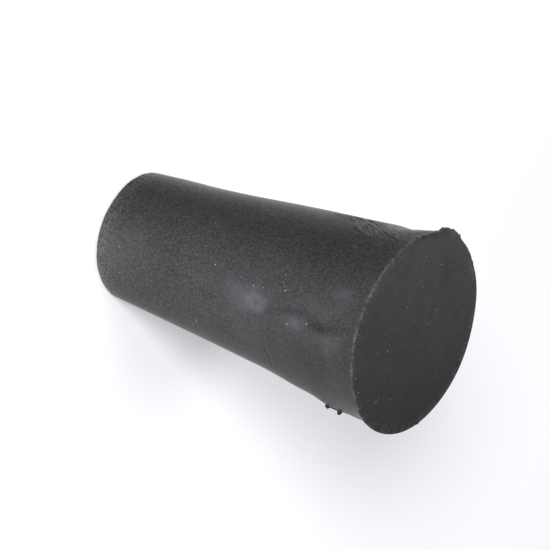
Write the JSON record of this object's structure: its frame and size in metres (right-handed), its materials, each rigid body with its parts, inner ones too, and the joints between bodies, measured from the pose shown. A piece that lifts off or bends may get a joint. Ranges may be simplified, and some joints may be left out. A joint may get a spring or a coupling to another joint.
{
  "type": "rubber stopper",
  "caption": "Solid tapered rubber stopper with a flared rim and flat ends, worn and torn at the rim, for closing the neck of a narrow bottle, flask or test tube.",
  "frame": {"origin": "centre of the small flat end, on which the stopper stands", "axes": "+Z along the stopper's axis from the small end to the large end; the torn flash of the rim lies towards -X and the two nubs towards +X"},
  "size_m": [0.0152, 0.015, 0.026],
  "materials": {
    "rubber": "matt black moulded rubber gone grey, with a fine grain, pale dusty smears and worn edges"
  },
  "bodies": {
    "root": {"stopper": "rubber"}
  },
  "joints": []
}
